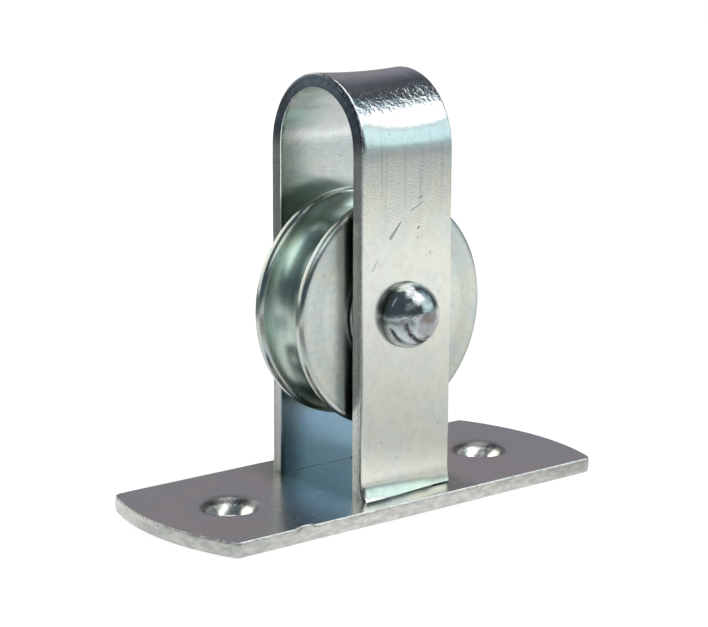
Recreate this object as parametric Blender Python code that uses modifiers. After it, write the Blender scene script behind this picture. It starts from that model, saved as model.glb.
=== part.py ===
"""Plate-mounted sheave roller: a grooved steel wheel on a riveted axle, in a bent strap staked to a plate.

Metres, +Z up. The origin is the middle of the plate's underside. X runs along the plate, Y along the axle,
and the near side is -Y.
"""

import math

import bmesh
import bpy
from mathutils import Matrix, Vector

# Fits and clearances
SEAT_GAP = 0.0001        # between faces that are clamped or seated together
FIT_GAP = 0.0001         # radial, fixed piece on a shaft
RUN_GAP = 0.0001         # radial, turning piece on a shaft
SIDE_GAP = 0.0003        # axial, sheave to thrust washer at either end of its float
FLUSH_GAP = 0.0001       # staked tenon ends below the plate's underside plane

# Sheave
SHEAVE_DIAMETER = 0.040
SHEAVE_WIDTH = 0.0134
RIM_THICKNESS = 0.0023
RIM_ROUND = 0.0010       # outer edge of each rim
GROOVE_LIP_ROUND = 0.0010
GROOVE_DEPTH = 0.0044
FACE_RECESS_DIAMETER = 0.0286
FACE_RECESS_DEPTH = 0.0004
HUB_DIAMETER = 0.0208
END_FLOAT = 0.0044       # how far the sheave slides along its sleeve

# Axle
RIVET_DIAMETER = 0.0064
RIVET_HEAD_DIAMETER = 0.0113
RIVET_HEAD_HEIGHT = 0.0048
RIVET_COLLAR = 0.0005    # straight edge at the foot of each rivet head
SLEEVE_WALL = 0.0015
BUSH_WALL = 0.0016
WASHER_DIAMETER = 0.0200
WASHER_THICKNESS = 0.0005

# Strap
STRAP_WIDTH = 0.020
STRAP_THICKNESS = 0.0025
STRAP_EDGE_ROUND = 0.0003
ARCH_HEADROOM = 0.0180   # clear height between the sheave and the top of the arch
TENON_SHOULDER = 0.0040  # how much narrower each side of a tenon is than its leg
STAKE_SPREAD = 0.0006    # how far the hammered tenon end spreads on each side
STAKE_DEPTH = 0.0012

# Plate
PLATE_LENGTH = 0.087     # over both bowed ends
PLATE_THICKNESS = 0.0027
PLATE_END_RISE = 0.0040  # how far each end bows out past its corners
PLATE_CORNER_RADIUS = 0.0010
PLATE_EDGE_ROUND = 0.0003
PLATE_SIDE_MARGIN = 0.0052   # from the strap's outer face to the plate's long edge
SHEAVE_FLOOR_GAP = 0.0111    # clear height between the plate and the sheave
SCREW_END_MARGIN = 0.0150    # from a screw hole to the plate's bowed end
SCREW_HOLE_DIAMETER = 0.0050
COUNTERSINK_DIAMETER = 0.0096
COUNTERSINK_LIP_ROUND = 0.0050   # dished edge between the plate's top and each cone

# Finishes, as colour and roughness
PLATE_FINISH = ((0.50, 0.49, 0.52), 0.28)
STRAP_FINISH = ((0.62, 0.62, 0.60), 0.30)
RIVET_FINISH = ((0.55, 0.58, 0.60), 0.12)
SLEEVE_FINISH = ((0.50, 0.50, 0.51), 0.30)
WASHER_FINISH = ((0.58, 0.58, 0.58), 0.30)
BUSH_FINISH = ((0.55, 0.38, 0.18), 0.35)
SHEAVE_FINISH = ((0.60, 0.62, 0.58), 0.20)

# Facets of round pieces
SHEAVE_STEPS = 48
SHAFT_STEPS = 32
ARC_STEPS = 4
LIP_STEPS = 6
ARCH_STEPS = 32
GROOVE_STEPS = 12
DOME_STEPS = 8
PLATE_END_STEPS = 14
RIM_ROUND_SHARE = 0.45   # the most of a rim's thickness that one of its two roundings may take
CUT_OVERRUN = 0.001      # how far cutters reach past what they cut
MERGE_DISTANCE = 0.000001
SHARP_ANGLE = math.radians(35)

# Sizes that follow
SHEAVE_RADIUS = SHEAVE_DIAMETER / 2
RIVET_RADIUS = RIVET_DIAMETER / 2
SLEEVE_BORE_RADIUS = RIVET_RADIUS + FIT_GAP
SLEEVE_RADIUS = SLEEVE_BORE_RADIUS + SLEEVE_WALL
BUSH_BORE_RADIUS = SLEEVE_RADIUS + RUN_GAP
BUSH_RADIUS = BUSH_BORE_RADIUS + BUSH_WALL
SHEAVE_BORE_RADIUS = BUSH_RADIUS + RUN_GAP
WASHER_SEAT = SEAT_GAP + WASHER_THICKNESS
LEG_INNER_Y = (SHEAVE_WIDTH + END_FLOAT) / 2 + SIDE_GAP + WASHER_SEAT
LEG_OUTER_Y = LEG_INNER_Y + STRAP_THICKNESS
LEG_MIDDLE_Y = (LEG_INNER_Y + LEG_OUTER_Y) / 2
SHEAVE_Y = -END_FLOAT / 2
AXLE_Z = PLATE_THICKNESS + SHEAVE_FLOOR_GAP + SHEAVE_RADIUS
ARCH_TOP_Z = AXLE_Z + SHEAVE_RADIUS + ARCH_HEADROOM + STRAP_THICKNESS
ARCH_CENTRE_Z = ARCH_TOP_Z - LEG_OUTER_Y
LEG_FOOT_Z = PLATE_THICKNESS + SEAT_GAP
TENON_WIDTH = STRAP_WIDTH - 2 * TENON_SHOULDER
PLATE_WIDTH = 2 * (LEG_OUTER_Y + PLATE_SIDE_MARGIN)
SCREW_X = PLATE_LENGTH / 2 - SCREW_END_MARGIN

ALONG_Y = Matrix.Rotation(-math.pi / 2, 4, "X")
FACING_X = Matrix(((0, 0, 1, 0), (1, 0, 0, 0), (0, 1, 0, 0), (0, 0, 0, 1)))


# Scene helpers

def clear_scene():
    for old in list(bpy.data.objects):
        bpy.data.objects.remove(old, do_unlink=True)


def new_collection(name):
    collection = bpy.data.collections.new(name)
    bpy.context.scene.collection.children.link(collection)
    return collection


def new_object(name, data, collection, matrix=None):
    made = bpy.data.objects.new(name, data)
    collection.objects.link(made)
    if matrix is not None:
        made.matrix_world = matrix
    return made


def metal(name, finish):
    colour, roughness = finish
    material = bpy.data.materials.new(name)
    material.use_nodes = True
    shader = material.node_tree.nodes["Principled BSDF"]
    shader.inputs["Base Color"].default_value = (*colour, 1.0)
    shader.inputs["Roughness"].default_value = roughness
    shader.inputs["Metallic"].default_value = 1.0
    return material


def as_tool(shape):
    """Keep a shape that only cuts or joins others out of sight."""
    shape.hide_render = True
    shape.display_type = "WIRE"
    return shape


def boolean(target, other, operation):
    modifier = target.modifiers.new(other.name, "BOOLEAN")
    modifier.operation = operation
    modifier.object = other


# Outline helpers

def arc(centre, radii, start, end, steps):
    """Points on an ellipse arc from one angle to another, both ends included."""
    points = []
    for i in range(steps + 1):
        angle = start + (end - start) * i / steps
        points.append((centre[0] + radii[0] * math.cos(angle), centre[1] + radii[1] * math.sin(angle)))
    return points


def rounded_corner(before, corner, after, radius):
    """Points of a fillet at a corner between two straight runs."""
    corner = Vector(corner)
    to_before = (Vector(before) - corner).normalized()
    to_after = (Vector(after) - corner).normalized()
    half_angle = to_before.angle(to_after) / 2
    centre = corner + (to_before + to_after).normalized() * radius / math.sin(half_angle)
    reach = radius / math.tan(half_angle)
    start = corner + to_before * reach - centre
    end = corner + to_after * reach - centre
    turn = start.angle_signed(end)
    points = []
    for i in range(ARC_STEPS + 1):
        swing = Matrix.Rotation(-turn * i / ARC_STEPS, 2)
        points.append(tuple(centre + swing @ start))
    return points


def turned(name, profile, closed, steps, collection, matrix):
    """A profile of (radius, height) points, outer side first from the top down, spun about its Z axis."""
    mesh = bpy.data.meshes.new(name)
    points = [(radius, 0.0, height) for radius, height in profile]
    edges = [(i, i + 1) for i in range(len(points) - 1)]
    if closed:
        edges.append((len(points) - 1, 0))
    mesh.from_pydata(points, edges, [])
    made = new_object(name, mesh, collection, matrix)
    screw = made.modifiers.new("spin", "SCREW")
    screw.axis = "Z"
    screw.steps = steps
    screw.render_steps = steps
    screw.use_merge_vertices = True
    screw.merge_threshold = MERGE_DISTANCE
    return made


def as_mesh(made):
    """The evaluated shape of an object as a mesh of its own, with the object removed."""
    bpy.context.view_layer.update()
    name = made.name
    mesh = bpy.data.meshes.new_from_object(made.evaluated_get(bpy.context.evaluated_depsgraph_get()))
    bpy.data.objects.remove(made, do_unlink=True)
    mesh.name = name
    return mesh


def pressed_sheet(name, outline, thickness, edge_round, collection, matrix):
    """A flat outline with rounded rims, cut from sheet or strip, as a mesh."""
    curve = bpy.data.curves.new(name, "CURVE")
    curve.dimensions = "2D"
    curve.fill_mode = "BOTH"
    curve.extrude = thickness / 2 - edge_round
    curve.bevel_depth = edge_round
    curve.bevel_resolution = 1
    curve.offset = -edge_round
    spline = curve.splines.new("POLY")
    spline.points.add(len(outline) - 1)
    for point, (u, v) in zip(spline.points, outline):
        point.co = (u, v, 0.0, 1.0)
    spline.use_cyclic_u = True
    mesh = as_mesh(new_object(name, curve, collection, matrix))
    work = bmesh.new()
    work.from_mesh(mesh)
    bmesh.ops.remove_doubles(work, verts=work.verts, dist=MERGE_DISTANCE)
    bmesh.ops.recalc_face_normals(work, faces=work.faces)
    work.to_mesh(mesh)
    work.free()
    return new_object(name, mesh, collection, matrix)


# Plate

def plate_outline():
    corner_x = PLATE_LENGTH / 2 - PLATE_END_RISE
    half_width = PLATE_WIDTH / 2
    end_radius = (half_width ** 2 + PLATE_END_RISE ** 2) / (2 * PLATE_END_RISE)
    reach = math.asin(half_width / end_radius)
    centre = (PLATE_LENGTH / 2 - end_radius, 0.0)
    right_end = arc(centre, (end_radius, end_radius), -reach, reach, PLATE_END_STEPS)
    left_end = [(-x, -y) for x, y in right_end]
    front_right = rounded_corner((-corner_x, -half_width), right_end[0], right_end[1], PLATE_CORNER_RADIUS)
    back_right = rounded_corner(right_end[-2], right_end[-1], (-corner_x, half_width), PLATE_CORNER_RADIUS)
    right_half = front_right + right_end[1:-1] + back_right
    back_left = [(-x, -y) for x, y in front_right]
    front_left = [(-x, -y) for x, y in back_right]
    return right_half + back_left + left_end[1:-1] + front_left


def countersink_profile():
    """Cutter profile of a screw hole, from above the plate down, with a rounded lip into the cone."""
    cone_angle = math.pi / 4
    hole_radius = SCREW_HOLE_DIAMETER / 2
    cone_width = COUNTERSINK_DIAMETER / 2 - hole_radius
    lip_share = math.sin(cone_angle) - math.tan(cone_angle / 2)
    lip_round = min(COUNTERSINK_LIP_ROUND, cone_width / lip_share)
    lip_radius = COUNTERSINK_DIAMETER / 2 + lip_round * math.tan(cone_angle / 2)
    cone_end_z = PLATE_THICKNESS - cone_width * math.tan(cone_angle)
    centre = (lip_radius, PLATE_THICKNESS - lip_round)
    lip = arc(centre, (lip_round, lip_round), math.pi / 2, math.pi / 2 + cone_angle, LIP_STEPS)
    top_z = PLATE_THICKNESS + CUT_OVERRUN
    below = [(hole_radius, cone_end_z), (hole_radius, -CUT_OVERRUN), (0.0, -CUT_OVERRUN)]
    return [(0.0, top_z), (lip_radius, top_z)] + lip + below


def staked_tenon(name, side, top_z, bottom_z, gap, collection):
    """A foot tenon with its hammered, spread end; the same form with a gap cuts its slot."""
    work = bmesh.new()
    bmesh.ops.create_cube(work, size=1.0)
    width = TENON_WIDTH + 2 * gap
    thickness = STRAP_THICKNESS + 2 * gap
    bmesh.ops.scale(work, vec=(width, thickness, top_z - STAKE_DEPTH), verts=work.verts)
    bmesh.ops.translate(work, vec=(0.0, 0.0, (top_z + STAKE_DEPTH) / 2), verts=work.verts)
    bottom = min(work.faces, key=lambda face: face.calc_center_median().z)
    spread = bmesh.ops.extrude_face_region(work, geom=[bottom])["geom"]
    ends = [item for item in spread if isinstance(item, bmesh.types.BMVert)]
    bmesh.ops.delete(work, geom=[bottom], context="FACES_ONLY")
    growth = STAKE_SPREAD * (STAKE_DEPTH - bottom_z) / STAKE_DEPTH
    stretch = ((width + 2 * growth) / width, (thickness + 2 * growth) / thickness, 1.0)
    bmesh.ops.scale(work, vec=stretch, verts=ends)
    bmesh.ops.translate(work, vec=(0.0, 0.0, bottom_z - STAKE_DEPTH), verts=ends)
    bmesh.ops.recalc_face_normals(work, faces=work.faces)
    mesh = bpy.data.meshes.new(name)
    work.to_mesh(mesh)
    work.free()
    return new_object(name, mesh, collection, Matrix.Translation((0.0, side * LEG_MIDDLE_Y, 0.0)))


def make_base_plate(parts, cutters):
    middle = Matrix.Translation((0.0, 0.0, PLATE_THICKNESS / 2))
    plate = pressed_sheet("base_plate", plate_outline(), PLATE_THICKNESS, PLATE_EDGE_ROUND, parts, middle)
    for label, x in (("left", -SCREW_X), ("right", SCREW_X)):
        place = Matrix.Translation((x, 0.0, 0.0))
        hole = turned(label + "_screw_hole", countersink_profile(), False, SHAFT_STEPS, cutters, place)
        boolean(plate, as_tool(hole), "DIFFERENCE")
    for label, side in (("near", -1), ("far", 1)):
        top_z = PLATE_THICKNESS + CUT_OVERRUN
        slot = staked_tenon(label + "_slot", side, top_z, -CUT_OVERRUN, SEAT_GAP, cutters)
        boolean(plate, as_tool(slot), "DIFFERENCE")
    plate.data.materials.append(metal("plate_zinc", PLATE_FINISH))
    return plate


# Strap

def strap_outline():
    """The bent strip seen along the plate: over the arch outside, and back inside from foot to foot."""
    centre = (0.0, ARCH_CENTRE_Z)
    outside = arc(centre, (LEG_OUTER_Y, LEG_OUTER_Y), 0.0, math.pi, ARCH_STEPS)
    inside = arc(centre, (LEG_INNER_Y, LEG_INNER_Y), math.pi, 0.0, ARCH_STEPS)
    near_foot = [(-LEG_OUTER_Y, LEG_FOOT_Z), (-LEG_INNER_Y, LEG_FOOT_Z)]
    far_foot = [(LEG_INNER_Y, LEG_FOOT_Z), (LEG_OUTER_Y, LEG_FOOT_Z)]
    return outside + near_foot + inside + far_foot


def make_strap(parts, cutters):
    strap = pressed_sheet("strap", strap_outline(), STRAP_WIDTH, STRAP_EDGE_ROUND, parts, FACING_X)
    for label, side in (("near", -1), ("far", 1)):
        top_z = LEG_FOOT_Z + STRAP_THICKNESS
        tenon = staked_tenon(label + "_tenon", side, top_z, FLUSH_GAP, 0.0, cutters)
        boolean(strap, as_tool(tenon), "UNION")
    reach = LEG_OUTER_Y + CUT_OVERRUN
    hole_radius = RIVET_RADIUS + FIT_GAP
    profile = [(0.0, reach), (hole_radius, reach), (hole_radius, -reach), (0.0, -reach)]
    place = Matrix.Translation((0.0, 0.0, AXLE_Z)) @ ALONG_Y
    boolean(strap, as_tool(turned("axle_hole", profile, False, SHAFT_STEPS, cutters, place)), "DIFFERENCE")
    strap.data.materials.append(metal("strap_zinc", STRAP_FINISH))
    return strap


# Axle and wheel, turned about the axle's own line

def ring_profile(outer_radius, bore_radius, length):
    half = length / 2
    return [(outer_radius, half), (outer_radius, -half), (bore_radius, -half), (bore_radius, half)]


def rivet_profile():
    """Head, shank and set head of the rivet, from its far end to its near end."""
    head_radius = RIVET_HEAD_DIAMETER / 2
    seat = LEG_OUTER_Y + SEAT_GAP
    dome_foot = seat + RIVET_COLLAR
    dome_radii = (head_radius, RIVET_HEAD_HEIGHT - RIVET_COLLAR)
    far_dome = arc((0.0, dome_foot), dome_radii, math.pi / 2, 0.0, DOME_STEPS)
    far_dome[0] = (0.0, seat + RIVET_HEAD_HEIGHT)
    far_half = far_dome + [(head_radius, seat), (RIVET_RADIUS, seat)]
    near_half = [(radius, -height) for radius, height in reversed(far_half)]
    return far_half + near_half


def sheave_profile():
    """Section of the sheave from its far face round the rim, groove, near face and bore."""
    half_width = SHEAVE_WIDTH / 2
    groove_half = half_width - RIM_THICKNESS
    edge_round = min(RIM_ROUND, RIM_THICKNESS * RIM_ROUND_SHARE)
    lip_round = min(GROOVE_LIP_ROUND, RIM_THICKNESS * RIM_ROUND_SHARE)
    edge_centre = (SHEAVE_RADIUS - edge_round, half_width - edge_round)
    outer_edge = arc(edge_centre, (edge_round, edge_round), math.pi / 2, 0.0, ARC_STEPS)
    lip_centre = (SHEAVE_RADIUS - lip_round, groove_half + lip_round)
    lip = arc(lip_centre, (lip_round, lip_round), 0.0, -math.pi / 2, ARC_STEPS)
    groove_radii = (GROOVE_DEPTH - lip_round, groove_half)
    groove_centre = (SHEAVE_RADIUS - lip_round, 0.0)
    groove = arc(groove_centre, groove_radii, math.pi / 2, math.pi * 3 / 2, GROOVE_STEPS)
    recess_radius = FACE_RECESS_DIAMETER / 2
    hub_radius = HUB_DIAMETER / 2
    recess_height = half_width - FACE_RECESS_DEPTH
    far_face = [
        (SHEAVE_BORE_RADIUS, half_width),
        (hub_radius, half_width),
        (hub_radius + FACE_RECESS_DEPTH, recess_height),
        (recess_radius - FACE_RECESS_DEPTH, recess_height),
        (recess_radius, half_width),
    ]
    far_side = far_face + outer_edge + lip
    near_side = [(radius, -height) for radius, height in reversed(far_side)]
    return far_side + groove[1:-1] + near_side


def make_axle_pieces(parts, axle):
    """Every piece that sits on the axle line, parented to the axle's empty."""
    washer_bore = RIVET_RADIUS + FIT_GAP
    washer = ring_profile(WASHER_DIAMETER / 2, washer_bore, WASHER_THICKNESS)
    washer_y = LEG_INNER_Y - SEAT_GAP - WASHER_THICKNESS / 2
    sleeve_length = 2 * (LEG_INNER_Y - WASHER_SEAT - SEAT_GAP)
    sleeve = ring_profile(SLEEVE_RADIUS, SLEEVE_BORE_RADIUS, sleeve_length)
    bush = ring_profile(BUSH_RADIUS, BUSH_BORE_RADIUS, SHEAVE_WIDTH)
    pieces = (
        ("axle_rivet", rivet_profile(), False, SHAFT_STEPS, 0.0, RIVET_FINISH),
        ("spacer_sleeve", sleeve, True, SHAFT_STEPS, 0.0, SLEEVE_FINISH),
        ("near_washer", washer, True, SHAFT_STEPS, -washer_y, WASHER_FINISH),
        ("far_washer", washer, True, SHAFT_STEPS, washer_y, WASHER_FINISH),
        ("bearing_bush", bush, True, SHAFT_STEPS, SHEAVE_Y, BUSH_FINISH),
        ("sheave", sheave_profile(), True, SHEAVE_STEPS, SHEAVE_Y, SHEAVE_FINISH),
    )
    for name, profile, closed, steps, along, finish in pieces:
        mesh = as_mesh(turned(name, profile, closed, steps, parts, None))
        mesh.shade_smooth()
        mesh.set_sharp_from_angle(angle=SHARP_ANGLE)
        piece = new_object(name, mesh, parts)
        piece.parent = axle
        piece.location = (0.0, 0.0, along)
        piece.data.materials.append(metal(name + "_metal", finish))


def main():
    clear_scene()
    parts = new_collection("plate_sheave_roller")
    cutters = new_collection("cutters")
    make_base_plate(parts, cutters)
    make_strap(parts, cutters)
    axle = new_object("axle_line", None, parts, Matrix.Translation((0.0, 0.0, AXLE_Z)) @ ALONG_Y)
    make_axle_pieces(parts, axle)
    bpy.context.view_layer.update()


main()
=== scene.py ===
"""Looks of the plate-mounted sheave roller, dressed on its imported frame.

Metres, +Z up, in the frame's own axes: X runs along the plate, Y along the axle, and the near side is -Y.
"""

import math

import bmesh
import bpy
from mathutils import Matrix, Vector, noise


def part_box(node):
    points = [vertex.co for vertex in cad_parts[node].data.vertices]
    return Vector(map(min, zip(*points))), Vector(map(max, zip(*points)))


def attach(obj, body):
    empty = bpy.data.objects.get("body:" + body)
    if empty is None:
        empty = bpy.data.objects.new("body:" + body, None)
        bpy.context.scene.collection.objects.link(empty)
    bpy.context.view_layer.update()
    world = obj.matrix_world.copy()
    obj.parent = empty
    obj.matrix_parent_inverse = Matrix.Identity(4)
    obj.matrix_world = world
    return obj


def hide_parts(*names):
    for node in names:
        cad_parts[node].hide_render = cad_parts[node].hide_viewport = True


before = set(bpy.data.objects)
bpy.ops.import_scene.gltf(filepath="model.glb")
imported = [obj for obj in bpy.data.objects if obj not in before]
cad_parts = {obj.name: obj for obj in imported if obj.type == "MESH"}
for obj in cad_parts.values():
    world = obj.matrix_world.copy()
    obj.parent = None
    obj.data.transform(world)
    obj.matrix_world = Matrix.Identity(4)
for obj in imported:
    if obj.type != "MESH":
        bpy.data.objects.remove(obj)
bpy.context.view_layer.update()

# Places read from the frame
PLATE_LOW, PLATE_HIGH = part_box("base_plate")
STRAP_LOW, STRAP_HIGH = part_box("strap")
RIVET_LOW, RIVET_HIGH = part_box("axle_rivet")
SHEAVE_LOW, SHEAVE_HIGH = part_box("sheave")
AXLE = (SHEAVE_LOW + SHEAVE_HIGH) / 2
AXLE_ON_CENTRE = Vector((AXLE.x, 0.0, AXLE.z))
RIVET_HEAD_HEIGHT = 0.0048
SEAT_GAP = 0.0001
RIVET_SEAT = RIVET_HIGH.y - RIVET_HEAD_HEIGHT    # inner side of each rivet head
LEG_FACE = RIVET_SEAT - SEAT_GAP                 # outer face of each leg
STRAP_HALF = (STRAP_HIGH.x - STRAP_LOW.x) / 2
SHEAVE_HALF = (SHEAVE_HIGH.y - SHEAVE_LOW.y) / 2
SHEAVE_RADIUS = (SHEAVE_HIGH.x - SHEAVE_LOW.x) / 2
MILLIMETRES = 1000.0           # in a metre, for places in the materials

# Strap
STRAP_THICKNESS = 0.0025
STRAP_OUTER_CORNER = 0.00050   # rolled corner on the outside of the bend
STRAP_INNER_CORNER = 0.00025
BEND_EASE = 0.0025             # the bend tightens over this length to either side of where it starts
SADDLE_DEPTH = 0.00036         # the middle of the bend sinks below its edges
BEND_NARROWING = 0.00018       # the stretched outside of the bend is drawn in at each edge
BEND_BLEND = 0.0060            # length over which the bend's distortion fades into the legs
BEND_PEEL = 0.00002            # uneven skin of the stretched outside
BEND_PEEL_PITCH = 0.0020
FOOT_FLARE = 0.00115           # how far the upset foot stands out from the leg at its heavier end
FOOT_FLARE_HEIGHT = 0.0036
FOOT_FLARE_POWER = 2.2
FOOT_FLARE_SHARES = (1.0, 0.34)    # at the foot's left and right ends
FOOT_FLARE_FAR = 0.2           # share of the flare on the far leg
FOOT_UNEVEN = 0.14
FOOT_UNEVEN_PITCH = 0.0038
FOOT_SEAM = 0.00024            # most that the foot's lower edge stands off the plate
FOOT_SEAM_SPAN = (0.3, 0.85)   # where it opens, in shares of the foot's width
SHEAR_RIPPLE = 0.00006         # unevenness of the sheared edges
SHEAR_RIPPLE_PITCH = 0.0007
TENON_WIDTH = 0.0120
TENON_END_Z = 0.0001
STAKE_SPREAD = 0.0006
STAKE_DEPTH = 0.0012
AXLE_HOLE_RADIUS = 0.0033

# Plate
PLATE_END_RADIUS = 0.0442      # bow of each end
PLATE_END_OFFSET = 0.00087     # the bow's centre lies off the plate's centreline, turned about at each end
PLATE_ROUND_CORNER = 0.0020
PLATE_SHARP_CORNER = 0.0009
PLATE_TOP_BREAK_RADIUS = 0.0008    # the burnished edge leans in just below the top
PLATE_TOP_BREAK_TILT = math.radians(36)
PLATE_BOTTOM_ROUND = 0.00034
PLATE_BREAK_TAPER = 0.00010    # the torn lower half of the sheared edge leans in
PLATE_POINT_SPACING = 0.00035
PLATE_RIM_WIDTH = 0.0010       # strip of the top face that follows the edge's unevenness
PLATE_RIM_MIDDLE = 0.45        # in rim widths, as the start of the unevenness's fade
PLATE_RIM_FADE = 0.2
PLATE_BURNISH = (0.45, 0.62)   # bottom and top of the edge's smooth band, in plate thicknesses
PLATE_TORN_START = 0.35        # above this share of the thickness the edge grows more uneven
PLATE_EDGE_RIPPLE = 0.00010
PLATE_EDGE_RIPPLE_PITCH = 0.0012
PLATE_EDGE_RIPPLE_LOW = 0.4    # share of the ripple at the foot of the edge
FINE_RIPPLE_SHARE = 0.5
FINE_RIPPLE_PITCH = 2.7        # ripples to one of the broad ones
BURR_X = -0.0258               # half-round nub left on the near long edge
BURR_HALF_WIDTH = 0.0015
BURR_REACH = 2.0               # in half widths of the nub, as the tear's place and width
BURR_HEIGHT = 0.00030
BURR_NOTCH = 0.00014           # depth of the tear beside the nub
BURR_NOTCH_PLACE = 1.12
BURR_NOTCH_WIDTH = 0.17
SCREW_X = 0.0285
SCREW_HOLE_RADIUS = 0.0025
DISH_ROUND = 0.00505           # one round wall from the plate's top down to the plain hole
DISH_TURN = math.radians(60)
SLOT_GAP = 0.0001

# Axle pieces
RIVET_HEAD_RADIUS = (RIVET_HIGH.x - RIVET_LOW.x) / 2
RIVET_COLLAR = 0.0005
RIVET_COLLAR_ROUND = 0.00025
RIVET_RADIUS = 0.0032
RIVET_DENT = 0.00007           # unevenness left by the rivet set
RIVET_DENT_PITCH = 0.0024
RIVET_CREASE_RADII = (0.0035, 0.0049)   # crescent left by the set's edge, from its left end to its right end
RIVET_CREASE_TURNS = (math.radians(-188), math.radians(-46))
RIVET_CREASE_SWING = math.radians(-128)     # from here on the crescent runs outwards
RIVET_CREASE_TAPER = math.radians(24)
RIVET_CREASE_DEPTH = 0.00022
RIVET_CREASE_WIDTH = 0.00056
SHEAVE_BORE_RADIUS = 0.0066
SHEAVE_RIM = 0.0023
SHEAVE_RIM_ROUND = 0.0009      # where the rim rolls into the groove
SHEAVE_EDGE_ROUND = 0.0008     # where the rim meets the face
GROOVE_DEPTH = 0.0044
GROOVE_SQUARENESS = 2.3        # 2 is an ellipse; more has a flatter bottom
HUB_RADIUS = 0.0086
HUB_HEIGHT = 0.00016           # the hub boss stands this far out from the flat face
HUB_SLOPE = 0.0005             # width of the step round the boss
FACE_STEPS = 6
BUSH_BORE_RADIUS = 0.0049
SLEEVE_BORE_RADIUS = 0.0033
WASHER_BORE_RADIUS = 0.0033
EDGE_BREAK = 0.00020           # broken corners of turned pieces
WASHER_EDGE_BREAK = 0.00012

# Mesh fineness
CORNER_STEPS = 5
RIM_STEPS = 10
WIDTH_STEPS = 32
LEG_STEPS = 48
LEG_SPACING_POWER = 1.6        # stations lie closer together at the foot
ARCH_STEPS = 56
WHEEL_STEPS = 192
SHAFT_STEPS = 96
GROOVE_STEPS = 40
DISH_STEPS = 20
DOME_STEPS = 44
RIVET_STEPS = 144
END_STEPS = 48
SHARP_ANGLE = math.radians(32)
WELD_DISTANCE = 0.000002
CUT_OVERRUN = 0.001


# Outline helpers

def arc(centre, radii, start, end, steps):
    """Points on an ellipse arc from one angle to another, both ends included."""
    points = []
    for i in range(steps + 1):
        angle = start + (end - start) * i / steps
        points.append((centre[0] + radii[0] * math.cos(angle), centre[1] + radii[1] * math.sin(angle)))
    return points


def fillet(before, corner, after, radius):
    """Points of a rounded corner between two straight runs."""
    corner = Vector(corner)
    to_before = (Vector(before) - corner).normalized()
    to_after = (Vector(after) - corner).normalized()
    half_angle = to_before.angle(to_after) / 2
    centre = corner + (to_before + to_after).normalized() * radius / math.sin(half_angle)
    reach = radius / math.tan(half_angle)
    start = corner + to_before * reach - centre
    end = corner + to_after * reach - centre
    turn = start.angle_signed(end)
    points = []
    for i in range(CORNER_STEPS + 1):
        points.append(tuple(centre + Matrix.Rotation(-turn * i / CORNER_STEPS, 2) @ start))
    return points


def rounded_loop(corners):
    """A closed outline from (u, v, corner radius) corners."""
    points = []
    for i, (u, v, radius) in enumerate(corners):
        if radius == 0.0:
            points.append((u, v))
            continue
        before = corners[i - 1][:2]
        after = corners[(i + 1) % len(corners)][:2]
        points += fillet(before, (u, v), after, radius)
    return points


def even_points(outline, spacing):
    """A closed outline resampled at an even spacing."""
    corners = [Vector(point) for point in outline]
    runs = [(corners[i] - corners[i - 1]).length for i in range(1, len(corners))]
    runs.append((corners[0] - corners[-1]).length)
    count = round(sum(runs) / spacing)
    step = sum(runs) / count
    points = []
    travelled = 0.0
    for i, run in enumerate(runs):
        start = corners[i]
        end = corners[(i + 1) % len(corners)]
        while len(points) * step < travelled + run and len(points) < count:
            points.append(start.lerp(end, (len(points) * step - travelled) / run))
        travelled += run
    return points


def smooth_step(value, low, high):
    share = min(1.0, max(0.0, (value - low) / (high - low)))
    return share * share * (3.0 - 2.0 * share)


# Mesh helpers

def add_object(name, data):
    made = bpy.data.objects.new(name, data)
    bpy.context.scene.collection.objects.link(made)
    return made


def new_piece(name, work, place=None):
    bmesh.ops.remove_doubles(work, verts=work.verts, dist=WELD_DISTANCE)
    bmesh.ops.recalc_face_normals(work, faces=work.faces)
    mesh = bpy.data.meshes.new(name)
    work.to_mesh(mesh)
    work.free()
    piece = add_object(name, mesh)
    if place is not None:
        piece.location = place
    return piece


def skin(name, rings, laddered=False):
    """A closed body through rings of points, with a cap on the first and the last ring.

    A laddered cap has quads between facing points, for a ring that doesn't lie flat.
    """
    work = bmesh.new()
    loops = [[work.verts.new(point) for point in ring] for ring in rings]
    for lower, upper in zip(loops, loops[1:]):
        for i in range(len(lower)):
            j = (i + 1) % len(lower)
            work.faces.new((lower[i], lower[j], upper[j], upper[i]))
    for loop in (loops[0], loops[-1]):
        if laddered:
            for i in range(len(loop) // 2 - 1):
                work.faces.new((loop[i], loop[i + 1], loop[-2 - i], loop[-1 - i]))
        else:
            work.faces.new(loop)
    return new_piece(name, work)


def turned(name, profile, closed, steps, place):
    """A body spun about the axle from (radius, along the axle) points."""
    work = bmesh.new()
    points = [work.verts.new((radius, along, 0.0)) for radius, along in profile]
    edges = [work.edges.new(pair) for pair in zip(points, points[1:])]
    if closed:
        edges.append(work.edges.new((points[-1], points[0])))
    about_axle = {"cent": (0, 0, 0), "axis": (0, 1, 0), "angle": 2 * math.pi}
    bmesh.ops.spin(work, geom=points + edges, steps=steps, use_merge=True, **about_axle)
    return new_piece(name, work, place)


def cut_or_join(piece, tools, operation):
    """Apply Boolean tools to a piece and remove the tools."""
    for tool in tools:
        modifier = piece.modifiers.new(tool.name, "BOOLEAN")
        modifier.operation = operation
        modifier.object = tool
    bpy.context.view_layer.update()
    seen = piece.evaluated_get(bpy.context.evaluated_depsgraph_get())
    mesh = bpy.data.meshes.new_from_object(seen)
    piece.modifiers.clear()
    piece.data = mesh
    for tool in tools:
        bpy.data.objects.remove(tool, do_unlink=True)


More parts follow.
